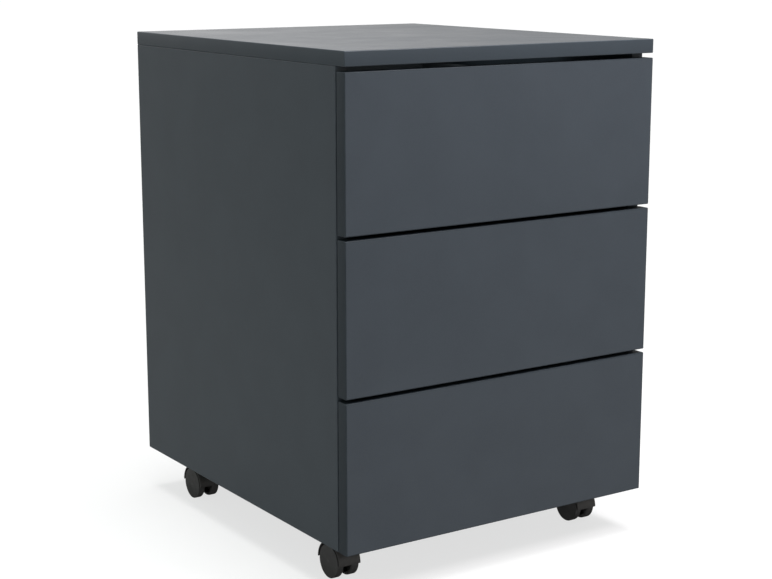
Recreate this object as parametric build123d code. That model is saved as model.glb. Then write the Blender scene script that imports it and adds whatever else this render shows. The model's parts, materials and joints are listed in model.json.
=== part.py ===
from build123d import *
import math
import os

# A rolling pedestal cabinet with three drawers, in millimetres. X runs from its left to its right,
# the drawer fronts face -Y, and z = 0 is the floor. The origin is under the middle of the body.

# Body
WIDTH = 420
DEPTH = 485
BODY_HEIGHT = 540
CASTER_HEIGHT = 53
BOARD = 16
EDGE_RADIUS = 1.0
BACK_THICKNESS = 3
BACK_INSET = 10
GROOVE_DEPTH = 6
GROOVE_PLAY = 0.1

# Drawer fronts: they cover the whole width and stop short of the side panels' front edges
REVEAL = 2
TOP_GAP = 5.5
FRONT_GAP = 4.5
DRAWERS = ("bottom", "middle", "top")

# Drawer boxes
BOX_BOARD = 12
BOX_HEIGHT = 120
BOX_LENGTH = 400
BOX_LIFT = 24
BOX_BOTTOM = 3
BOX_BOTTOM_LIFT = 8
BOX_EDGE_RADIUS = 0.5

# Roller slides
SLIDE_SPACE = 12.5
SLIDE_STEEL = 1.2
SLIDE_SETBACK = 2
DRAWER_RAIL_SETBACK = 0.5
TRAVEL = 300
CHANNEL_HEIGHT = 16.6
CHANNEL_LIFT = 4
CHANNEL_REACH = 8.6
WRAP_REACH = 12
RUNNING_FLANGE = 8.6
FLANGE_PLAY = 0.4
CABINET_ROLLER_RADIUS = 7
DRAWER_ROLLER_RADIUS = 8
ROLLER_WIDTH = 5.8
ROLLER_PLAY = 0.3
ROLLER_PIN_RADIUS = 2.5
ROLLER_BORE_PLAY = 0.05
ROLLER_CHAMFER = 0.4
PIN_HEAD_RADIUS = 4
PIN_HEAD = 0.8
PIN_LENGTH = 7.6
PIN_ROOT = 0.5
CABINET_ROLLER_INSET = 12
DRAWER_ROLLER_INSET = 8
ROLLER_WEB_GAP = 1.6
ROLLER_HEAD_GAP = 0.3
DRAWER_ROLLER_SHIFT = 0.1
FLANGE_ROLLER_GAP = 1
STOP_INSET = 1
STOP_WIDTH = 5
STOP_HEIGHT = 8

# Casters
WHEEL_RADIUS = 19.25
WHEEL_WIDTH = 9.7
WHEEL_GAP = 9.8
WHEEL_DOME = 0.5
WHEEL_OUTER_ROUND = 0.4
WHEEL_INNER_ROUND = 2.4
WHEEL_RIM = 3.6
WHEEL_DISC = 2.6
HUB_RADIUS = 6
AXLE_RADIUS = 3
AXLE_PLAY = 0.04
AXLE_FIT = 0.02
AXLE_GRIP = 6.6
AXLE_END_PLAY = 0.3
TRAIL = 10
HOOD_RADIUS = 23.2
HOOD_WALL = 1.2
HOOD_WIDTH = 28
HOOD_ROUND = 0.3
WEB_THICKNESS = 6.6
WEB_BOSS_RADIUS = 7
WEB_BOSS_PLAY = 0.3
NECK_RADIUS = 7.5
KINGPIN_RADIUS = 2.5
KINGPIN_PLAY = 0.05
KINGPIN_FOOT = 30.5
KINGPIN_END_PLAY = 0.5
PLATE_SIZE = 42
PLATE_THICKNESS = 2
PLATE_CORNER = 4
PLATE_SIDE_PLAY = 0.3
RACE_RADIUS = 10.5
RACE_HEIGHT = 1.7
RACE_CHAMFER = 0.8
RACE_PLAY = 0.4
AXLE_Y = 167

# Screws
SCREW_SHANK = 1.75
SCREW_HEAD = 3.5
SCREW_HEAD_TOP = 2.6
SCREW_HEAD_HEIGHT = 1.1
SCREW_LENGTH = 12
LONG_SCREW_LENGTH = 30
SCREW_PLAY = 0.05
SCREW_TIP_PLAY = 0.5
SCREW_RECESS = (1.6, 0.7, 0.8)
PLATE_SCREW_SPACING = 31
RAIL_SCREW_YS = (-180, -20, 150)
DRAWER_RAIL_SCREW_YS = (-190, -30, 130)
DRAWER_RAIL_SCREW_INSET = 3.5
BACK_SCREW_RISES = (36, 96)

# Cam fittings
BOARD_CAM_RADIUS = 7.5
BOARD_CAM_DEPTH = 12.5
BOX_CAM_RADIUS = 6
BOX_CAM_DEPTH = 9.5
CAM_SETBACK = 24
CAM_SINK = 0.3
CAM_RECESS_WIDTH = 1.4
CAM_RECESS_DEPTH = 1.8
CAM_RECESS_SHARE = 0.6
DOWEL_SHANK_SHARE = 0.42
DOWEL_THREAD_SHARE = 0.34
DOWEL_THREAD = 11
DOWEL_TIP_PLAY = 0.5
FIT_PLAY = 0.1
TOP_CAM_INSET = 50
BOTTOM_CAM_YS = (-120, 120)
BOX_CAM_RISES = (34, 96)

# How far a cut runs past the face that it opens, and the smallest such step
OVERCUT = 1
HAIR = 0.01

# Worked out from the above
FRONT_Y = -DEPTH / 2
BACK_Y = DEPTH / 2
FRONT_BACK_Y = FRONT_Y + BOARD
SIDE_FRONT_Y = FRONT_BACK_Y + REVEAL
OUTER_X = WIDTH / 2
INNER_X = OUTER_X - BOARD
BODY_BOTTOM = CASTER_HEIGHT
TOP_Z = CASTER_HEIGHT + BODY_HEIGHT
SLAB_Z = TOP_Z - BOARD
FLOOR_Z = BODY_BOTTOM + BOARD
FRONT_HEIGHT = (SLAB_Z - TOP_GAP - BODY_BOTTOM - FRONT_GAP * (len(DRAWERS) - 1)) / len(DRAWERS)
BACK_PANEL_Y = BACK_Y - BACK_INSET - BACK_THICKNESS
BOX_OUTER_X = INNER_X - SLIDE_SPACE
BOX_INNER_X = BOX_OUTER_X - BOX_BOARD
BOX_REAR_Y = FRONT_BACK_Y + BOX_LENGTH
CABINET_WEB_X = INNER_X - SLIDE_STEEL
DRAWER_WEB_X = BOX_OUTER_X + SLIDE_STEEL
RAIL_FRONT_Y = SIDE_FRONT_Y + SLIDE_SETBACK
RAIL_REAR_Y = RAIL_FRONT_Y + BOX_LENGTH
CABINET_ROLLER_Y = RAIL_FRONT_Y + CABINET_ROLLER_INSET
DRAWER_ROLLER_Y = BOX_REAR_Y - DRAWER_ROLLER_INSET
RUNNING_FLANGE_TOP = CHANNEL_HEIGHT - FLANGE_PLAY
CABINET_ROLLER_RISE = RUNNING_FLANGE_TOP - SLIDE_STEEL - ROLLER_PLAY - CABINET_ROLLER_RADIUS
DRAWER_ROLLER_RISE = ROLLER_PLAY + DRAWER_ROLLER_RADIUS
ROLLER_INNER_X = DRAWER_WEB_X + ROLLER_WEB_GAP
STEM_X = INNER_X - PLATE_SIDE_PLAY - PLATE_SIZE / 2
STEM_Y = AXLE_Y + TRAIL

RIGHT = Vector(1, 0, 0)
BACK = Vector(0, 1, 0)
UP = Vector(0, 0, 1)


def block(x, y, z):
    """A box between two limits on each axis."""
    middle = Pos((x[0] + x[1]) / 2, (y[0] + y[1]) / 2, (z[0] + z[1]) / 2)
    return middle * Box(x[1] - x[0], y[1] - y[0], z[1] - z[0])


def board(x, y, z, radius=EDGE_RADIUS):
    """A board with all its edges rounded."""
    plain = block(x, y, z)
    return fillet(plain.edges(), radius)


def rod(radius, start, direction, length):
    """A cylinder that runs from a point along a direction."""
    frame = Plane(origin=start, z_dir=direction)
    return frame * Cylinder(radius, length, align=(Align.CENTER, Align.CENTER, Align.MIN))


def mirrored(shape):
    """The same shape on the other side of the cabinet."""
    return mirror(shape, about=Plane.YZ)


def both_sides(shapes):
    """Each shape and its mirror image."""
    return list(shapes) + [mirrored(shape) for shape in shapes]


def group(shapes):
    """Separate solids in one node."""
    return Compound([solid for shape in shapes for solid in shape.solids()])


# Fasteners: each is a solid, and each has the bores that the boards need for it


def cross_recess(point, outward, reach, width, depth):
    """A cross-shaped cut in a face whose normal points outward."""
    frame = Plane(origin=point, z_dir=outward)
    slot = Box(2 * reach, width, 2 * depth)
    return frame * (slot + Rot(0, 0, 90) * slot)


def screw(point, direction, length=SCREW_LENGTH):
    """A pan-head screw whose head bears at the point and whose shank runs along the direction."""
    shank = rod(SCREW_SHANK, point, direction, length)
    head = Plane(origin=point, z_dir=direction * -1) * Cone(
        SCREW_HEAD, SCREW_HEAD_TOP, SCREW_HEAD_HEIGHT, align=(Align.CENTER, Align.CENTER, Align.MIN)
    )
    crown = point - direction * SCREW_HEAD_HEIGHT
    return shank + head - cross_recess(crown, direction * -1, *SCREW_RECESS)


def screw_bore(point, direction, length=SCREW_LENGTH):
    return rod(SCREW_SHANK + SCREW_PLAY, point - direction * HAIR, direction, length + SCREW_TIP_PLAY)


class CamFitting:
    """An eccentric cam in one board and the dowel that it draws in from the board across the joint.

    point is where the dowel crosses the joint, inward runs into the board that holds the cam, and
    outward leaves that board, of the given thickness, by the face that the cam is turned from.
    """

    def __init__(self, point, inward, outward, cam_radius, cam_depth, thickness):
        self.point = point
        self.inward = inward
        self.outward = outward
        self.cam_radius = cam_radius
        self.cam_depth = cam_depth
        self.face = point + inward * CAM_SETBACK + outward * (thickness / 2)
        self.shank_radius = cam_radius * DOWEL_SHANK_SHARE
        self.thread_radius = cam_radius * DOWEL_THREAD_SHARE

    def cam(self):
        sunk = self.face - self.outward * CAM_SINK
        drum = rod(self.cam_radius, sunk, self.outward * -1, self.cam_depth - CAM_SINK)
        throat_length = CAM_SETBACK + self.shank_radius
        throat = rod(self.shank_radius + CAM_SINK, self.point, self.inward, throat_length)
        reach = self.cam_radius * CAM_RECESS_SHARE
        return drum - throat - cross_recess(sunk, self.outward, reach, CAM_RECESS_WIDTH, CAM_RECESS_DEPTH)

    def dowel(self):
        shank = rod(self.shank_radius, self.point, self.inward, CAM_SETBACK)
        thread = rod(self.thread_radius, self.point - self.inward * DOWEL_THREAD, self.inward, DOWEL_THREAD)
        return shank + thread

    def cam_bores(self):
        mouth = self.face + self.outward * OVERCUT
        pocket_depth = self.cam_depth + OVERCUT + FIT_PLAY
        pocket = rod(self.cam_radius + FIT_PLAY, mouth, self.outward * -1, pocket_depth)
        channel_start = self.point - self.inward * OVERCUT
        channel = rod(self.shank_radius + FIT_PLAY, channel_start, self.inward, CAM_SETBACK + OVERCUT)
        return pocket + channel

    def thread_bore(self):
        foot = self.point - self.inward * (DOWEL_THREAD + DOWEL_TIP_PLAY)
        return rod(self.thread_radius + SCREW_PLAY, foot, self.inward, DOWEL_THREAD + DOWEL_TIP_PLAY + HAIR)


def carcass_fittings():
    """The cams and dowels on the right that hold the top to the sides and the bottom between them."""
    cam = (BOARD_CAM_RADIUS, BOARD_CAM_DEPTH, BOARD)
    to_top = [
        CamFitting(Vector(OUTER_X - BOARD / 2, y, SLAB_Z), UP * -1, RIGHT * -1, *cam)
        for y in (SIDE_FRONT_Y + TOP_CAM_INSET, BACK_Y - TOP_CAM_INSET)
    ]
    to_bottom = [
        CamFitting(Vector(INNER_X, y, FLOOR_Z - BOARD / 2), RIGHT * -1, UP, *cam)
        for y in BOTTOM_CAM_YS
    ]
    return to_top, to_bottom


def drawer_fittings(box_z):
    """The cams and dowels on the right that hold one drawer's front to its side."""
    x = BOX_OUTER_X - BOX_BOARD / 2
    cam = (BOX_CAM_RADIUS, BOX_CAM_DEPTH, BOX_BOARD)
    return [
        CamFitting(Vector(x, FRONT_BACK_Y, box_z + rise), BACK, RIGHT * -1, *cam)
        for rise in BOX_CAM_RISES
    ]


# Heights of one drawer, from the bottom edge of its front


def front_bottom(level):
    return BODY_BOTTOM + level * (FRONT_HEIGHT + FRONT_GAP)


def box_bottom(level):
    return front_bottom(level) + BOX_LIFT


def channel_floor(level):
    return box_bottom(level) + CHANNEL_LIFT


# Where the screws go, each as a point and a direction, on the right side only


def rail_screw_places(level):
    """The screws that fix a cabinet rail to the side panel."""
    z = channel_floor(level) + CHANNEL_HEIGHT / 2
    return [(Vector(CABINET_WEB_X, y, z), RIGHT) for y in RAIL_SCREW_YS]


def drawer_rail_screw_places(level):
    """The screws that fix a drawer rail under the drawer's side."""
    z = box_bottom(level) - SLIDE_STEEL
    return [(Vector(BOX_OUTER_X - DRAWER_RAIL_SCREW_INSET, y, z), UP) for y in DRAWER_RAIL_SCREW_YS]


def drawer_back_screw_places(level):
    """The screws through a drawer's side into the end of its back."""
    y = BOX_REAR_Y - BOX_BOARD / 2
    bottom = box_bottom(level)
    return [(Vector(BOX_OUTER_X, y, bottom + rise), RIGHT * -1) for rise in BACK_SCREW_RISES]


def plate_screw_places():
    """The screws that fix one caster plate, about the middle of the plate."""
    reach = PLATE_SCREW_SPACING / 2
    z = BODY_BOTTOM - PLATE_THICKNESS
    return [(Vector(x, y, z), UP) for x in (-reach, reach) for y in (-reach, reach)]


def caster_places():
    """Each caster's name, the place of its stem and the turn that puts its wheels inboard of the stem."""
    return {
        "front_left": (-STEM_X, -STEM_Y, 0),
        "front_right": (STEM_X, -STEM_Y, 0),
        "rear_left": (-STEM_X, STEM_Y, 180),
        "rear_right": (STEM_X, STEM_Y, 180),
    }


def at_caster(place):
    return Pos(place[0], place[1], 0) * Rot(0, 0, place[2])


# Carcass


def top_panel(to_top):
    slab = board((-OUTER_X, OUTER_X), (FRONT_Y, BACK_Y), (SLAB_Z, TOP_Z))
    groove = block(
        (-INNER_X - GROOVE_DEPTH, INNER_X + GROOVE_DEPTH),
        (BACK_PANEL_Y - GROOVE_PLAY, BACK_PANEL_Y + BACK_THICKNESS + GROOVE_PLAY),
        (SLAB_Z - OVERCUT, SLAB_Z + GROOVE_DEPTH),
    )
    bores = both_sides([fitting.thread_bore() for fitting in to_top])
    return slab - groove - bores


def right_side_panel(to_top, to_bottom):
    panel = board((INNER_X, OUTER_X), (SIDE_FRONT_Y, BACK_Y), (BODY_BOTTOM, SLAB_Z))
    groove = block(
        (INNER_X - OVERCUT, INNER_X + GROOVE_DEPTH),
        (BACK_PANEL_Y - GROOVE_PLAY, BACK_PANEL_Y + BACK_THICKNESS + GROOVE_PLAY),
        (BODY_BOTTOM - OVERCUT, SLAB_Z + OVERCUT),
    )
    bores = [fitting.cam_bores() for fitting in to_top]
    bores += [fitting.thread_bore() for fitting in to_bottom]
    for level in range(len(DRAWERS)):
        bores += [screw_bore(*place) for place in rail_screw_places(level)]
    return panel - groove - bores


def bottom_panel(to_bottom):
    panel = board((-INNER_X, INNER_X), (SIDE_FRONT_Y, BACK_Y), (BODY_BOTTOM, FLOOR_Z), BOX_EDGE_RADIUS)
    groove = block(
        (-INNER_X - OVERCUT, INNER_X + OVERCUT),
        (BACK_PANEL_Y - GROOVE_PLAY, BACK_PANEL_Y + BACK_THICKNESS + GROOVE_PLAY),
        (FLOOR_Z - GROOVE_DEPTH, FLOOR_Z + OVERCUT),
    )
    bores = both_sides([fitting.cam_bores() for fitting in to_bottom])
    for place in caster_places().values():
        bores += [at_caster(place) * screw_bore(*screw_place) for screw_place in plate_screw_places()]
    return panel - groove - bores


def back_panel():
    reach = GROOVE_DEPTH - 2 * GROOVE_PLAY
    return block(
        (-INNER_X - reach, INNER_X + reach),
        (BACK_PANEL_Y, BACK_PANEL_Y + BACK_THICKNESS),
        (FLOOR_Z - reach, SLAB_Z + reach),
    )


def cabinet_rail(level):
    """The right-hand C channel of one slide, with its stop tabs and the pin of its front roller."""
    floor = channel_floor(level)
    ceiling = floor + CHANNEL_HEIGHT
    inner_x = CABINET_WEB_X - CHANNEL_REACH
    length = (RAIL_FRONT_Y, RAIL_REAR_Y)
    web = block((CABINET_WEB_X, INNER_X), length, (floor - SLIDE_STEEL, ceiling + SLIDE_STEEL))
    lower = block((inner_x, INNER_X), length, (floor - SLIDE_STEEL, floor))
    upper = block((inner_x, INNER_X), length, (ceiling, ceiling + SLIDE_STEEL))
    rear_tab = block((inner_x, INNER_X), (RAIL_REAR_Y - SLIDE_STEEL, RAIL_REAR_Y), (floor, ceiling))
    stop_y = DRAWER_ROLLER_Y - TRAVEL - DRAWER_ROLLER_RADIUS - ROLLER_PLAY
    stop_x = inner_x + STOP_INSET
    stop_tab = block(
        (stop_x, stop_x + STOP_WIDTH), (stop_y - SLIDE_STEEL, stop_y), (floor, floor + STOP_HEIGHT)
    )
    head_start = Vector(ROLLER_INNER_X, CABINET_ROLLER_Y, floor + CABINET_ROLLER_RISE)
    pin = rod(ROLLER_PIN_RADIUS, head_start, RIGHT, CABINET_WEB_X - ROLLER_INNER_X + PIN_ROOT)
    head = rod(PIN_HEAD_RADIUS, head_start, RIGHT * -1, PIN_HEAD)
    holes = [rail_hole(*place) for place in rail_screw_places(level)]
    return web + lower + upper + rear_tab + stop_tab + pin + head - holes


def rail_hole(point, direction):
    """A screw's hole through a rail's or a plate's steel."""
    return rod(SCREW_SHANK + SCREW_PLAY, point - direction, direction, PLATE_THICKNESS + 2 * OVERCUT)


def cabinet_rollers(level):
    """The two front rollers of one slide, which the drawer's running flanges roll on."""
    z = channel_floor(level) + CABINET_ROLLER_RISE
    start = Vector(ROLLER_INNER_X + ROLLER_HEAD_GAP, CABINET_ROLLER_Y, z)
    return group(both_sides([roller(start, CABINET_ROLLER_RADIUS)]))


def roller(start, radius):
    """A nylon roller that runs on its pin, from its start to the right."""
    body = rod(radius, start, RIGHT, ROLLER_WIDTH)
    rims = body.edges().filter_by(GeomType.CIRCLE)
    bore = rod(ROLLER_PIN_RADIUS + ROLLER_BORE_PLAY, start - RIGHT, RIGHT, ROLLER_WIDTH + 2 * OVERCUT)
    return chamfer(rims, ROLLER_CHAMFER) - bore


# Drawers


def drawer_front(level, fittings):
    bottom = front_bottom(level)
    face = board((-OUTER_X, OUTER_X), (FRONT_Y, FRONT_BACK_Y), (bottom, bottom + FRONT_HEIGHT))
    groove_x = BOX_INNER_X + GROOVE_DEPTH
    groove_y = (FRONT_BACK_Y - GROOVE_DEPTH, FRONT_BACK_Y + OVERCUT)
    groove = block((-groove_x, groove_x), groove_y, bottom_groove_z(level))
    return face - groove - both_sides([fitting.thread_bore() for fitting in fittings])


def bottom_groove_z(level):
    low = box_bottom(level) + BOX_BOTTOM_LIFT
    return (low - GROOVE_PLAY, low + BOX_BOTTOM + GROOVE_PLAY)


def drawer_right_side(level, fittings):
    bottom = box_bottom(level)
    side = board(
        (BOX_INNER_X, BOX_OUTER_X),
        (FRONT_BACK_Y, BOX_REAR_Y),
        (bottom, bottom + BOX_HEIGHT),
        BOX_EDGE_RADIUS,
    )
    groove = block(
        (BOX_INNER_X - OVERCUT, BOX_INNER_X + GROOVE_DEPTH),
        (FRONT_BACK_Y - OVERCUT, BOX_REAR_Y + OVERCUT),
        bottom_groove_z(level),
    )
    bores = [fitting.cam_bores() for fitting in fittings]
    bores += [screw_bore(*place) for place in drawer_rail_screw_places(level)]
    bores += [screw_bore(*place, LONG_SCREW_LENGTH) for place in drawer_back_screw_places(level)]
    return side - groove - bores


def drawer_back(level):
    bottom = box_bottom(level)
    panel = board(
        (-BOX_INNER_X, BOX_INNER_X),
        (BOX_REAR_Y - BOX_BOARD, BOX_REAR_Y),
        (bottom + BOX_BOTTOM_LIFT + BOX_BOTTOM, bottom + BOX_HEIGHT),
        BOX_EDGE_RADIUS,
    )
    bores = [screw_bore(*place, LONG_SCREW_LENGTH) for place in drawer_back_screw_places(level)]
    return panel - both_sides(bores)


def drawer_bottom(level):
    low = box_bottom(level) + BOX_BOTTOM_LIFT
    reach = BOX_INNER_X + GROOVE_DEPTH - 2 * GROOVE_PLAY
    front_y = FRONT_BACK_Y - GROOVE_DEPTH + 2 * GROOVE_PLAY
    return block((-reach, reach), (front_y, BOX_REAR_Y), (low, low + BOX_BOTTOM))


def drawer_rail(level):
    """The right-hand rail under one drawer's side, with its running flange and its rear roller's pin."""
    bottom = box_bottom(level)
    floor = channel_floor(level)
    top = floor + RUNNING_FLANGE_TOP
    length = (FRONT_BACK_Y + DRAWER_RAIL_SETBACK, BOX_REAR_Y)
    flange_end = DRAWER_ROLLER_Y - DRAWER_ROLLER_RADIUS - FLANGE_ROLLER_GAP
    flange_reach = (BOX_OUTER_X, DRAWER_WEB_X + RUNNING_FLANGE)
    wrap = block((BOX_OUTER_X - WRAP_REACH, DRAWER_WEB_X), length, (bottom - SLIDE_STEEL, bottom))
    web = block((BOX_OUTER_X, DRAWER_WEB_X), length, (bottom - SLIDE_STEEL, top))
    running = block(flange_reach, (length[0], flange_end), (top - SLIDE_STEEL, top))
    roller_z = floor + DRAWER_ROLLER_RISE
    pin_start = Vector(DRAWER_WEB_X - PIN_ROOT, DRAWER_ROLLER_Y, roller_z)
    pin = rod(ROLLER_PIN_RADIUS, pin_start, RIGHT, PIN_LENGTH + PIN_ROOT)
    head_start = Vector(DRAWER_WEB_X + PIN_LENGTH, DRAWER_ROLLER_Y, roller_z)
    head = rod(PIN_HEAD_RADIUS, head_start, RIGHT, PIN_HEAD)
    holes = [rail_hole(*place) for place in drawer_rail_screw_places(level)]
    return wrap + web + running + pin + head - holes


def drawer_rollers(level):
    """The two rear rollers of one drawer, which roll in the cabinet's channels."""
    z = channel_floor(level) + DRAWER_ROLLER_RISE
    start = Vector(ROLLER_INNER_X - DRAWER_ROLLER_SHIFT, DRAWER_ROLLER_Y, z)
    return group(both_sides([roller(start, DRAWER_ROLLER_RADIUS)]))


def drawer_screws(level):
    screws = [screw(*place) for place in drawer_rail_screw_places(level)]
    screws += [screw(*place, LONG_SCREW_LENGTH) for place in drawer_back_screw_places(level)]
    return group(both_sides(screws))


def cam_fittings(fittings):
    pieces = [fitting.cam() for fitting in fittings] + [fitting.dowel() for fitting in fittings]
    return group(both_sides(pieces))


# Casters, each modelled about its stem with its wheels behind it


def caster_plate():
    """The mounting plate with its bearing race and riveted kingpin."""
    plate = Pos(0, 0, BODY_BOTTOM - PLATE_THICKNESS / 2) * Box(PLATE_SIZE, PLATE_SIZE, PLATE_THICKNESS)
    plate = fillet(plate.edges().filter_by(Axis.Z), PLATE_CORNER)
    underside = BODY_BOTTOM - PLATE_THICKNESS
    race = rod(RACE_RADIUS, Vector(0, 0, underside - RACE_HEIGHT), UP, RACE_HEIGHT)
    race = chamfer(race.edges().group_by(Axis.Z)[0], RACE_CHAMFER)
    kingpin = rod(KINGPIN_RADIUS, Vector(0, 0, KINGPIN_FOOT), UP, underside - KINGPIN_FOOT)
    holes = [rail_hole(*place) for place in plate_screw_places()]
    return plate + race + kingpin - holes


def caster_hood():
    """The hood over both wheels, with the web between them that carries the axle and the neck above."""
    axle = Vector(0, TRAIL, WHEEL_RADIUS)
    drum = rod(HOOD_RADIUS, axle - RIGHT * HOOD_WIDTH / 2, RIGHT, HOOD_WIDTH)
    drum = fillet(drum.edges().filter_by(GeomType.CIRCLE), HOOD_ROUND)
    clear = HOOD_RADIUS + OVERCUT
    below = block((-clear, clear), (TRAIL - clear, TRAIL + clear), (WHEEL_RADIUS - clear, WHEEL_RADIUS))
    neck_foot = WHEEL_RADIUS + HOOD_RADIUS / 2
    neck_top = BODY_BOTTOM - PLATE_THICKNESS - RACE_HEIGHT - RACE_PLAY
    neck = rod(NECK_RADIUS, Vector(0, 0, neck_foot), UP, neck_top - neck_foot)
    boss_reach = WHEEL_GAP / 2 - WEB_BOSS_PLAY
    boss = rod(WEB_BOSS_RADIUS, axle - RIGHT * boss_reach, RIGHT, 2 * boss_reach)
    well_radius = HOOD_RADIUS - HOOD_WALL
    well = rod(well_radius, axle + RIGHT * WEB_THICKNESS / 2, RIGHT, HOOD_WIDTH)
    axle_bore = rod(AXLE_RADIUS + AXLE_FIT, axle - RIGHT * HOOD_WIDTH, RIGHT, 2 * HOOD_WIDTH)
    pin_bore_foot = Vector(0, 0, KINGPIN_FOOT - KINGPIN_END_PLAY)
    pin_bore = rod(KINGPIN_RADIUS + KINGPIN_PLAY, pin_bore_foot, UP, BODY_BOTTOM)
    return drum - below + neck - both_sides([well]) + boss - axle_bore - pin_bore


def caster_axle():
    reach = WHEEL_GAP / 2 + AXLE_GRIP
    return rod(AXLE_RADIUS, Vector(-reach, TRAIL, WHEEL_RADIUS), RIGHT, 2 * reach)


def caster_wheel():
    """The right-hand wheel: a domed disc with a rim and a hub, open towards the web."""
    inner = WHEEL_GAP / 2
    outer = inner + WHEEL_WIDTH
    shoulder = outer - WHEEL_DOME
    dome_radius = (WHEEL_RADIUS**2 + WHEEL_DOME**2) / (2 * WHEEL_DOME)
    dome_turn = math.degrees(math.asin(WHEEL_RADIUS / dome_radius))
    with BuildSketch() as half:
        with BuildLine():
            Line((inner, 0), (inner, WHEEL_RADIUS))
            Line((inner, WHEEL_RADIUS), (shoulder, WHEEL_RADIUS))
            CenterArc((outer - dome_radius, 0), dome_radius, 0, dome_turn)
            Line((outer, 0), (inner, 0))
        make_face()
        fillet(half.vertices().sort_by(Axis.Y)[-2:].sort_by(Axis.X)[0], WHEEL_INNER_ROUND)
        fillet(half.vertices().group_by(Axis.Y)[-1].sort_by(Axis.X)[-1], WHEEL_OUTER_ROUND)
    disc = revolve(half.sketch, axis=Axis.X)
    depth = WHEEL_WIDTH - WHEEL_DOME - WHEEL_DISC
    ring_start = Vector(inner - OVERCUT, 0, 0)
    ring = rod(WHEEL_RADIUS - WHEEL_RIM, ring_start, RIGHT, depth + OVERCUT)
    ring = ring - rod(HUB_RADIUS, ring_start, RIGHT, depth + OVERCUT)
    bore = rod(AXLE_RADIUS + AXLE_PLAY, Vector(0, 0, 0), RIGHT, inner + AXLE_GRIP + AXLE_END_PLAY)
    return Pos(0, TRAIL, WHEEL_RADIUS) * (disc - ring - bore)


def chipboard_screws():
    """The short screws that fix the cabinet rails and the caster plates."""
    in_rails = []
    for level in range(len(DRAWERS)):
        in_rails += [screw(*place) for place in rail_screw_places(level)]
    in_plates = []
    for place in caster_places().values():
        in_plates += [at_caster(place) * screw(*screw_place) for screw_place in plate_screw_places()]
    return group(both_sides(in_rails) + in_plates)


def carcass_nodes():
    to_top, to_bottom = carcass_fittings()
    right_side = right_side_panel(to_top, to_bottom)
    right_rails = [cabinet_rail(level) for level in range(len(DRAWERS))]
    plates = [at_caster(place) * caster_plate() for place in caster_places().values()]
    return {
        "top_panel": top_panel(to_top),
        "right_side_panel": right_side,
        "left_side_panel": mirrored(right_side),
        "bottom_panel": bottom_panel(to_bottom),
        "back_panel": back_panel(),
        "right_cabinet_rails": group(right_rails),
        "left_cabinet_rails": group([mirrored(rail) for rail in right_rails]),
        "carcass_cam_fittings": cam_fittings(to_top + to_bottom),
        "chipboard_screws": chipboard_screws(),
        "caster_plates": group(plates),
    }


def drawer_nodes(level):
    name = DRAWERS[level]
    fittings = drawer_fittings(box_bottom(level))
    right_side = drawer_right_side(level, fittings)
    right_rail = drawer_rail(level)
    return {
        f"{name}_drawer_front": drawer_front(level, fittings),
        f"{name}_drawer_right_side": right_side,
        f"{name}_drawer_left_side": mirrored(right_side),
        f"{name}_drawer_back": drawer_back(level),
        f"{name}_drawer_bottom": drawer_bottom(level),
        f"{name}_drawer_right_rail": right_rail,
        f"{name}_drawer_left_rail": mirrored(right_rail),
        f"{name}_drawer_cam_fittings": cam_fittings(fittings),
        f"{name}_drawer_screws": drawer_screws(level),
        f"{name}_drawer_rollers": drawer_rollers(level),
        f"{name}_cabinet_rollers": cabinet_rollers(level),
    }


def caster_nodes():
    nodes = {}
    wheel = caster_wheel()
    for name, place in caster_places().items():
        right_is_outer = place[0] > 0
        turned = place[2] != 0
        local_outer = wheel if right_is_outer != turned else mirrored(wheel)
        nodes[f"{name}_caster_hood"] = at_caster(place) * caster_hood()
        nodes[f"{name}_caster_axle"] = at_caster(place) * caster_axle()
        nodes[f"{name}_outer_wheel"] = at_caster(place) * local_outer
        nodes[f"{name}_inner_wheel"] = at_caster(place) * mirrored(local_outer)
    return nodes


def build():
    nodes = carcass_nodes()
    for level in range(len(DRAWERS)):
        nodes.update(drawer_nodes(level))
    nodes.update(caster_nodes())
    os.makedirs("parts", exist_ok=True)
    for name, shape in nodes.items():
        export_step(shape, f"parts/{name}.step")
        solids = shape.solids()
        print(name, len(solids), "solids", round(sum(solid.volume for solid in solids)), "mm3")
    print(len(nodes), "nodes")


build()
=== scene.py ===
import json
import math
import bmesh
import bpy
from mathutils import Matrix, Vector


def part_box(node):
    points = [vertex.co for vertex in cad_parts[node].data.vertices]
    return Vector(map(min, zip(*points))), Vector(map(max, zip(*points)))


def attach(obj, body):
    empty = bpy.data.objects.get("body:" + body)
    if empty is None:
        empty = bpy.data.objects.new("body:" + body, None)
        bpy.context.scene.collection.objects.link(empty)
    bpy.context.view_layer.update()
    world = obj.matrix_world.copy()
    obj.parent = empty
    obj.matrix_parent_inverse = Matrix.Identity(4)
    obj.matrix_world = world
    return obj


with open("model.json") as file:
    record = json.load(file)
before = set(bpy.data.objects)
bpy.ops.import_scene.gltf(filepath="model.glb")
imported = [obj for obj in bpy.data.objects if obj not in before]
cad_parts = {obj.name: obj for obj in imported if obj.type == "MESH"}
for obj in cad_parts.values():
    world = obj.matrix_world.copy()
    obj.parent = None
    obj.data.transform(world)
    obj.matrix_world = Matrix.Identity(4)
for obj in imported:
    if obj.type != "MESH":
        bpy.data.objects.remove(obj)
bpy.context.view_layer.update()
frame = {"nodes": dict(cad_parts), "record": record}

MM = 0.001
LEVELS = ("bottom", "middle", "top")
SIDES = ("left", "right")
NODES = frame["nodes"]

# Camera, in metres and degrees, in the part's own frame
CAMERA_PLACE = Vector((-1.10592, -1.66147, 0.69336))
CAMERA_YAW = 33.663
CAMERA_PITCH = -11.701
CAMERA_LENS = 76.84
CAMERA_SENSOR = 36.0
CAMERA_SHIFT = (0.00153, 0.00162)
CAMERA_REACH = 200

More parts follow.
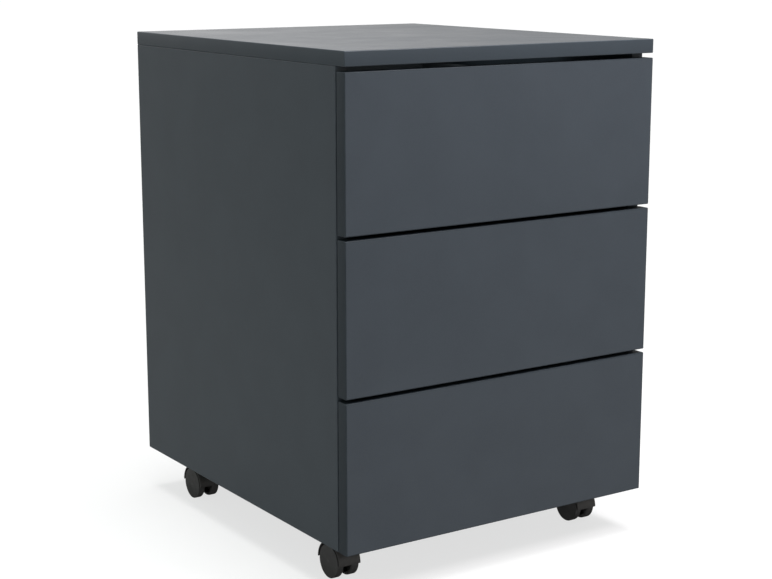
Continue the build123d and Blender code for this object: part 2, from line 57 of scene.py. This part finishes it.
# Studio: the room's light on surfaces and in reflections, the lamps, and how the floor shows
ROOM_LIGHT = 0.36
LEFT_SHINE = 0.68
RIGHT_SHINE = 0.42
LEFT_TINT = (1.16, 1.38, 1.27)
RIGHT_TINT = (1.0, 0.955, 0.985)
FILL_TURN = (-0.7, 0.7)
SHINE_TURN = (0.45, 0.62)
SUN_STRENGTH = 2.8
SUN_ANGLE = 30
SUN_TOWARDS = (0.0, -0.03, 1.0)
KEY_PLACE = (0.35, -0.82, 1.27)
KEY_TARGET = (0.0, 0.0, 0.4)
KEY_SIZE = 0.5
KEY_POWER = 11.6
CABINET_FILL_POWER = 0.06
CABINET_FILL_SIZE = 0.2
CABINET_FILL_X = 0.094
CABINET_FILL_DROP = 1 * MM
CABINET_FILL_TINT = (0.86, 0.96, 1.0)
FLOOR_GLOW_SEEN = 0.70
FLOOR_GLOW_CAST = 0.42
FLOOR_SHINE = 0.25
FLOOR_BOUNCE = 0.6
FLOOR_REACH = 40.0


# Node graphs


class Graph:
    """A material's node tree with its Principled shader, and short calls for the nodes used here."""

    def __init__(self, name):
        self.material = bpy.data.materials.new(name)
        self.material.use_nodes = True
        self.tree = self.material.node_tree
        self.shader = self.tree.nodes["Principled BSDF"]
        self.place = self.node("ShaderNodeTexCoord").outputs["Object"]

    def node(self, kind, **settings):
        made = self.tree.nodes.new(kind)
        for key, value in settings.items():
            setattr(made, key, value)
        return made

    def link(self, source, target):
        self.tree.links.new(source, target)

    def stretched(self, scale):
        """Object coordinates scaled by a vector, for a grain that runs along one axis."""
        mapping = self.node("ShaderNodeMapping")
        mapping.inputs["Scale"].default_value = scale
        self.link(self.place, mapping.inputs["Vector"])
        return mapping.outputs["Vector"]

    def noise(self, size_mm, detail=3.0, roughness=0.5, vector=None):
        """Noise whose blobs are about size_mm across."""
        made = self.node("ShaderNodeTexNoise")
        made.inputs["Scale"].default_value = 1 / (size_mm * MM)
        made.inputs["Detail"].default_value = detail
        made.inputs["Roughness"].default_value = roughness
        self.link(vector or self.place, made.inputs["Vector"])
        return made.outputs["Fac"]

    def ramp(self, source, low, high, to_low=0.0, to_high=1.0):
        made = self.node("ShaderNodeMapRange", clamp=True)
        for name, value in (("From Min", low), ("From Max", high), ("To Min", to_low), ("To Max", to_high)):
            made.inputs[name].default_value = value
        self.link(source, made.inputs["Value"])
        return made.outputs["Result"]

    def math(self, operation, first, second):
        made = self.node("ShaderNodeMath", operation=operation)
        for socket, value in zip(made.inputs, (first, second)):
            if isinstance(value, (int, float)):
                socket.default_value = value
            else:
                self.link(value, socket)
        return made.outputs["Value"]

    def blend(self, factor, first, second):
        """A colour between two, by a factor. Each end is a colour or a socket."""
        made = self.node("ShaderNodeMix", data_type="RGBA")
        self.link(factor, made.inputs[0])
        for socket, value in ((made.inputs[6], first), (made.inputs[7], second)):
            if isinstance(value, tuple):
                socket.default_value = (*value, 1)
            else:
                self.link(value, socket)
        return made.outputs[2]

    def bump(self, height, depth_mm, strength=1.0, under=None):
        made = self.node("ShaderNodeBump")
        made.inputs["Strength"].default_value = strength
        made.inputs["Distance"].default_value = depth_mm * MM
        self.link(height, made.inputs["Height"])
        if under is not None:
            self.link(under, made.inputs["Normal"])
        return made.outputs["Normal"]

    def rounding(self):
        """1 on rounded edges and 0 on faces square to the part's axes."""
        normal = self.node("ShaderNodeNewGeometry").outputs["Normal"]
        split = self.node("ShaderNodeSeparateXYZ")
        self.link(normal, split.inputs["Vector"])
        sizes = [self.math("ABSOLUTE", split.outputs[axis], 0) for axis in range(3)]
        largest = self.math("MAXIMUM", self.math("MAXIMUM", sizes[0], sizes[1]), sizes[2])
        return self.ramp(largest, 0.99, 0.8)

    def finish(self, colour, roughness, normal, **constants):
        for name, source in (("Base Color", colour), ("Roughness", roughness), ("Normal", normal)):
            self.link(source, self.shader.inputs[name])
        for name, value in constants.items():
            self.shader.inputs[name.replace("_", " ")].default_value = value
        return self.material


def shade(colour, factor):
    return tuple(part * factor for part in colour)


# Materials


def laminate(name, tone, gloss, level):
    """Melamine-faced board: pearl emboss, faint mottling, handling marks in the gloss, and rubbed edges."""
    graph = Graph(name)
    cloud = graph.ramp(graph.noise(55, 3), 0.35, 0.65)
    speck = graph.ramp(graph.noise(0.9, 2, 0.6), 0.42, 0.58)
    body = graph.blend(cloud, shade(tone, 0.96), shade(tone, 1.03))
    body = graph.blend(graph.math("MULTIPLY", speck, 0.35), body, shade(tone, 1.16))
    rub = graph.math("MULTIPLY", graph.rounding(), graph.ramp(graph.noise(14, 4), 0.42, 0.62))
    colour = graph.blend(graph.math("MULTIPLY", rub, 0.5), body, shade(tone, 1.7))
    smear = graph.ramp(graph.noise(90, 4, 0.6), 0.3, 0.7, gloss - 0.03, gloss + 0.04)
    fine = graph.ramp(graph.noise(1.4, 2), 0.3, 0.7, -0.015, 0.015)
    roughness = graph.math("ADD", smear, fine)
    emboss = graph.bump(graph.noise(0.55, 2, 0.6), 0.02, 0.35)
    normal = graph.bump(graph.noise(7, 2), 0.02, 0.25, emboss)
    return graph.finish(colour, roughness, normal, Specular_IOR_Level=level)


def hardboard(name, tone):
    """Lacquered hardboard: a tight fibre fleck under a thin lacquer."""
    graph = Graph(name)
    fibre = graph.ramp(graph.noise(1.6, 5, 0.7, graph.stretched((1.0, 1.0, 0.45))), 0.35, 0.65)
    cloud = graph.ramp(graph.noise(40, 3), 0.35, 0.65)
    body = graph.blend(fibre, shade(tone, 0.86), shade(tone, 1.12))
    colour = graph.blend(graph.math("MULTIPLY", cloud, 0.3), body, shade(tone, 1.1))
    roughness = graph.ramp(graph.noise(12, 3), 0.3, 0.7, 0.5, 0.62)
    normal = graph.bump(fibre, 0.03, 0.4)
    return graph.finish(colour, roughness, normal, Specular_IOR_Level=0.35)


def box_laminate(name, tone):
    """The paper foil on the drawer boxes: a linen print and emboss of crossed fine threads."""
    graph = Graph(name)
    cloud = graph.ramp(graph.noise(60, 3), 0.3, 0.7)
    body = graph.blend(cloud, shade(tone, 0.98), shade(tone, 1.02))
    across = graph.noise(0.9, 1, 0.5, graph.stretched((1.0, 0.07, 1.0)))
    along = graph.noise(0.9, 1, 0.5, graph.stretched((0.07, 1.0, 0.07)))
    weave = graph.math("ADD", across, along)
    thread = graph.ramp(weave, 0.8, 1.2)
    colour = graph.blend(graph.math("MULTIPLY", thread, 0.6), body, shade(tone, 1.22))
    roughness = graph.ramp(graph.noise(20, 3), 0.3, 0.7, 0.46, 0.58)
    normal = graph.bump(weave, 0.03, 0.35)
    return graph.finish(colour, roughness, normal, Specular_IOR_Level=0.35)


def powder_coat(name, tone):
    """Powder-coated steel: orange peel, and thin bright rubs on the corners."""
    graph = Graph(name)
    peel = graph.noise(0.9, 2, 0.4)
    rub = graph.math("MULTIPLY", graph.rounding(), graph.ramp(graph.noise(5, 4), 0.5, 0.6))
    cloud = graph.ramp(graph.noise(25, 3), 0.35, 0.65)
    body = graph.blend(cloud, shade(tone, 0.95), shade(tone, 1.05))
    colour = graph.blend(graph.math("MULTIPLY", rub, 0.6), body, (0.4, 0.4, 0.41))
    roughness = graph.ramp(graph.noise(6, 3), 0.3, 0.7, 0.32, 0.44)
    normal = graph.bump(peel, 0.04, 0.4)
    return graph.finish(colour, roughness, normal, Specular_IOR_Level=0.5)


def plated_steel(name, tone, grain=(1.0, 1.0, 1.0), gloss=0.3):
    """Zinc-plated steel: directional drawing marks, spangle and dull patches."""
    graph = Graph(name)
    patch = graph.ramp(graph.noise(3.5, 4, 0.6), 0.35, 0.65)
    colour = graph.blend(patch, shade(tone, 0.82), shade(tone, 1.08))
    marks = graph.noise(0.35, 2, 0.6, graph.stretched(grain))
    roughness = graph.ramp(patch, 0.0, 1.0, gloss - 0.05, gloss + 0.12)
    normal = graph.bump(marks, 0.01, 0.3)
    return graph.finish(colour, roughness, normal, Metallic=1.0)


def moulded_plastic(name, tone, gloss, scuff=0.25, level=0.5, translucent=0.0):
    """Moulded nylon: spark-eroded grain, flow clouding, and scuffs where it rubs."""
    graph = Graph(name)
    cloud = graph.ramp(graph.noise(9, 3), 0.35, 0.65)
    body = graph.blend(cloud, shade(tone, 0.88), shade(tone, 1.12))
    worn = graph.ramp(graph.noise(4, 6, 0.7), 0.56, 0.7)
    colour = graph.blend(graph.math("MULTIPLY", worn, scuff), body, shade(tone, 2.2))
    roughness = graph.ramp(graph.noise(6, 4), 0.3, 0.7, gloss - 0.05, gloss + 0.08)
    grain = graph.bump(graph.noise(0.35, 2, 0.6), 0.015, 0.4)
    normal = graph.bump(graph.noise(5, 2), 0.03, 0.3, grain)
    return graph.finish(
        colour, roughness, normal, Specular_IOR_Level=level, Subsurface_Weight=translucent
    )


ANTHRACITE = (0.047, 0.056, 0.067)
BOX_TONE = (0.10, 0.105, 0.112)
MATERIALS = {
    "anthracite_laminate": laminate("anthracite_laminate", ANTHRACITE, 0.2, 0.3),
    "back_hardboard": hardboard("back_hardboard", (0.045, 0.052, 0.06)),
    "drawer_box_laminate": box_laminate("drawer_box_laminate", BOX_TONE),
    "drawer_bottom_board": hardboard("drawer_bottom_board", (0.2, 0.205, 0.21)),
    "rail_steel": powder_coat("rail_steel", (0.12, 0.123, 0.127)),
    "nylon_roller": moulded_plastic("nylon_roller", (0.72, 0.7, 0.65), 0.35, 0.05, 0.5, 0.05),
    "cam_zinc": plated_steel("cam_zinc", (0.58, 0.59, 0.6), gloss=0.38),
    "screw_steel": plated_steel("screw_steel", (0.66, 0.65, 0.6), gloss=0.28),
    "caster_plate_steel": plated_steel("caster_plate_steel", (0.6, 0.6, 0.6), (0.2, 1.0, 1.0), 0.3),
    "caster_hood_plastic": moulded_plastic("caster_hood_plastic", (0.043, 0.0395, 0.0375), 0.42),
    "caster_wheel_plastic": moulded_plastic("caster_wheel_plastic", (0.042, 0.0395, 0.0395), 0.5),
    "axle_steel": plated_steel("axle_steel", (0.62, 0.62, 0.63), (0.15, 1.0, 1.0), 0.22),
}
EDGE_BAND = laminate("front_edge_band", (0.0255, 0.0325, 0.0395), 0.5, 0.18)
SLAB_BAND = laminate("slab_edge_band", (0.0368, 0.0463, 0.0564), 0.34, 0.3)
BODY_BAND = laminate("body_edge_band", shade(ANTHRACITE, 0.92), 0.3, 0.25)
BOX_BAND = box_laminate("drawer_box_edge_band", shade(BOX_TONE, 0.9))


def dress_cad_nodes():
    """Every CAD node takes the material of its slot in the record."""
    for part in frame["record"]["subparts"]:
        node = NODES[part["node"]]
        node.data.materials.clear()
        node.data.materials.append(MATERIALS[part["material_slot"]])
        for polygon in node.data.polygons:
            polygon.material_index = 0


dress_cad_nodes()


# Edge bands

BOARD_ROUND = 1.0 * MM
BOX_ROUND = 0.6 * MM
BAND_PROUD = 0.04 * MM
BAND_STEPS = 5
WELD_DISTANCE = 0.005 * MM
SMOOTH_ANGLE = 40


def ring_path(low, high, radius, steps):
    """The inset rectangle that a band goes round, as points with their outward directions."""
    centres = (
        (high[0] - radius, high[1] - radius, 0),
        (low[0] + radius, high[1] - radius, 90),
        (low[0] + radius, low[1] + radius, 180),
        (high[0] - radius, low[1] + radius, 270),
    )
    path = []
    for x, y, start in centres:
        for step in range(steps + 1):
            turn = math.radians(start + 90 * step / steps)
            path.append(((x, y), (math.cos(turn), math.sin(turn))))
    return path


def band_section(low, high, radius, proud, steps):
    """Half-rounded section of a band: how far out and how high each point is."""
    section = []
    for middle, start in ((high - radius, 90), (low + radius, 0)):
        for step in range(steps + 1):
            turn = math.radians(start - 90 * step / steps)
            section.append(((radius + proud) * math.cos(turn), middle + (radius + proud) * math.sin(turn)))
    return section


def edge_band(node, body, thin_axis, radius, material):
    """The band glued round a board's edges: a solid ring, rounded outside, a hair proud of the board."""
    low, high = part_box(node)
    flat = [axis for axis in range(3) if axis != thin_axis]
    path = ring_path([low[a] for a in flat], [high[a] for a in flat], radius, BAND_STEPS)
    section = band_section(low[thin_axis], high[thin_axis], radius, BAND_PROUD, BAND_STEPS)
    mesh = bmesh.new()
    rings = []
    for (x, y), (out_x, out_y) in path:
        ring = []
        for out, height in section:
            place = [0.0, 0.0, 0.0]
            place[flat[0]] = x + out * out_x
            place[flat[1]] = y + out * out_y
            place[thin_axis] = height
            ring.append(mesh.verts.new(place))
        rings.append(ring)
    for first, second in zip(rings, rings[1:] + rings[:1]):
        count = len(first)
        for index in range(count):
            after = (index + 1) % count
            mesh.faces.new((first[index], second[index], second[after], first[after]))
    bmesh.ops.remove_doubles(mesh, verts=mesh.verts, dist=WELD_DISTANCE)
    bmesh.ops.recalc_face_normals(mesh, faces=mesh.faces)
    piece = add_mesh(node + "_edge_band", mesh, material)
    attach(piece, body)


def add_mesh(name, mesh, material):
    data = bpy.data.meshes.new(name)
    mesh.to_mesh(data)
    mesh.free()
    data.materials.append(material)
    piece = bpy.data.objects.new(name, data)
    bpy.context.scene.collection.objects.link(piece)
    data.set_sharp_from_angle(angle=math.radians(SMOOTH_ANGLE))
    for polygon in data.polygons:
        polygon.use_smooth = True
    return piece


def drawer_bands(level):
    """The bands of one drawer: round its front, and round the sides and the back of its box."""
    body = f"{level}_drawer"
    edge_band(f"{level}_drawer_front", body, 1, BOARD_ROUND, EDGE_BAND)
    for side in SIDES:
        edge_band(f"{level}_drawer_{side}_side", body, 0, BOX_ROUND, BOX_BAND)
    edge_band(f"{level}_drawer_back", body, 1, BOX_ROUND, BOX_BAND)


for drawer_level in LEVELS:
    drawer_bands(drawer_level)
edge_band("top_panel", "carcass", 2, BOARD_ROUND, SLAB_BAND)
for panel_side in SIDES:
    edge_band(f"{panel_side}_side_panel", "carcass", 0, BOARD_ROUND, BODY_BAND)


# Stage


def by_ray(tree, ray, other, special):
    """One value or colour for a kind of light ray and another for the rest."""
    path = tree.nodes.new("ShaderNodeLightPath")
    mix = tree.nodes.new("ShaderNodeMix")
    mix.data_type = "RGBA"
    tree.links.new(path.outputs[ray], mix.inputs[0])
    for socket, value in ((mix.inputs[6], other), (mix.inputs[7], special)):
        if isinstance(value, tuple):
            socket.default_value = (*value, 1)
        else:
            tree.links.new(value, socket)
    return mix.outputs[2]


def stage_floor():
    """A pale floor that reaches past the view, glowing a little so that its shadows stay light."""
    mesh = bmesh.new()
    corners = (
        (-FLOOR_REACH, -FLOOR_REACH),
        (FLOOR_REACH, -FLOOR_REACH),
        (FLOOR_REACH, FLOOR_REACH),
        (-FLOOR_REACH, FLOOR_REACH),
    )
    mesh.faces.new([mesh.verts.new((x, y, 0)) for x, y in corners])
    data = bpy.data.meshes.new("floor")
    mesh.to_mesh(data)
    mesh.free()
    floor = bpy.data.objects.new("floor", data)
    bpy.context.scene.collection.objects.link(floor)
    graph = Graph("pale_floor")
    cloud = graph.ramp(graph.noise(160, 3), 0.3, 0.7)
    pale = graph.blend(cloud, (0.87, 0.87, 0.87), (0.89, 0.89, 0.89))
    colour = by_ray(graph.tree, "Is Glossy Ray", pale, (FLOOR_SHINE,) * 3)
    colour = by_ray(graph.tree, "Is Diffuse Ray", colour, (FLOOR_BOUNCE,) * 3)
    roughness = graph.ramp(graph.noise(30, 3), 0.3, 0.7, 0.75, 0.85)
    normal = graph.bump(graph.noise(3, 2), 0.02, 0.2)
    graph.finish(colour, roughness, normal, Specular_IOR_Level=0.1)
    glow = graph.node("ShaderNodeEmission")
    glow.inputs["Strength"].default_value = 1.0
    mix = graph.node("ShaderNodeMixShader")
    path = graph.node("ShaderNodeLightPath")
    seen = graph.math("MULTIPLY", path.outputs["Is Camera Ray"], FLOOR_GLOW_SEEN)
    cast = graph.math("MULTIPLY", path.outputs["Is Diffuse Ray"], FLOOR_GLOW_CAST)
    graph.link(graph.math("ADD", seen, cast), mix.inputs["Fac"])
    graph.link(graph.shader.outputs["BSDF"], mix.inputs[1])
    graph.link(glow.outputs["Emission"], mix.inputs[2])
    graph.link(mix.outputs["Shader"], graph.tree.nodes["Material Output"].inputs["Surface"])
    data.materials.append(graph.material)


def world_ramp(tree, source, low, high, first, second):
    """A colour that goes from the first to the second as the source goes from low to high."""
    share = tree.nodes.new("ShaderNodeMapRange")
    share.clamp = True
    share.inputs["From Min"].default_value = low
    share.inputs["From Max"].default_value = high
    tree.links.new(source, share.inputs["Value"])
    mix = tree.nodes.new("ShaderNodeMix")
    mix.data_type = "RGBA"
    tree.links.new(share.outputs["Result"], mix.inputs[0])
    mix.inputs[6].default_value = (*first, 1)
    mix.inputs[7].default_value = (*second, 1)
    return mix.outputs[2]


def studio_world():
    """White behind the object, a grey studio in reflections, and a faint tint to each side."""
    world = bpy.data.worlds.new("studio")
    world.use_nodes = True
    bpy.context.scene.world = world
    tree = world.node_tree
    place = tree.nodes.new("ShaderNodeTexCoord")
    split = tree.nodes.new("ShaderNodeSeparateXYZ")
    tree.links.new(place.outputs["Generated"], split.inputs["Vector"])
    fill = world_ramp(
        tree, split.outputs["X"], *FILL_TURN, shade(LEFT_TINT, ROOM_LIGHT), shade(RIGHT_TINT, ROOM_LIGHT)
    )
    shine = world_ramp(tree, split.outputs["X"], *SHINE_TURN, (LEFT_SHINE,) * 3, (RIGHT_SHINE,) * 3)
    seen = by_ray(tree, "Is Glossy Ray", fill, shine)
    colour = by_ray(tree, "Is Camera Ray", seen, (1.0, 1.0, 1.0))
    tree.links.new(colour, tree.nodes["Background"].inputs["Color"])


def soft_sun():
    """A broad overhead light for the soft shadow under the cabinet."""
    light = bpy.data.lights.new("overhead_light", "SUN")
    light.energy = SUN_STRENGTH
    light.angle = math.radians(SUN_ANGLE)
    lamp = bpy.data.objects.new("overhead_light", light)
    lamp.rotation_euler = Vector(SUN_TOWARDS).to_track_quat("Z", "Y").to_euler()
    bpy.context.scene.collection.objects.link(lamp)


def softbox(name, place, target, size, power, tint):
    """A square panel light that faces a point."""
    light = bpy.data.lights.new(name, "AREA")
    light.shape = "SQUARE"
    light.size = size
    light.energy = power
    light.color = tint
    lamp = bpy.data.objects.new(name, light)
    lamp.location = place
    lamp.rotation_euler = (Vector(place) - Vector(target)).to_track_quat("Z", "Y").to_euler()
    bpy.context.scene.collection.objects.link(lamp)
    return lamp


def cabinet_fill():
    """A faint light under the top panel's right half, so that the inside isn't black through the gaps."""
    low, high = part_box("top_panel")
    place = (CABINET_FILL_X, (low[1] + high[1]) / 2, low[2] - CABINET_FILL_DROP)
    below = (place[0], place[1], 0)
    lamp = softbox(
        "cabinet_fill", place, below, CABINET_FILL_SIZE, CABINET_FILL_POWER, CABINET_FILL_TINT
    )
    lamp.visible_camera = False


def camera():
    data = bpy.data.cameras.new("camera")
    data.lens = CAMERA_LENS
    data.sensor_width = CAMERA_SENSOR
    data.shift_x, data.shift_y = CAMERA_SHIFT
    data.clip_end = CAMERA_REACH
    viewer = bpy.data.objects.new("camera", data)
    viewer.location = CAMERA_PLACE
    viewer.rotation_euler = (math.radians(90 + CAMERA_PITCH), 0, math.radians(-CAMERA_YAW))
    bpy.context.scene.collection.objects.link(viewer)
    bpy.context.scene.camera = viewer


stage_floor()
studio_world()
soft_sun()
softbox("key_light", KEY_PLACE, KEY_TARGET, KEY_SIZE, KEY_POWER, RIGHT_TINT)
cabinet_fill()
camera()
bpy.context.scene.view_settings.view_transform = "Standard"
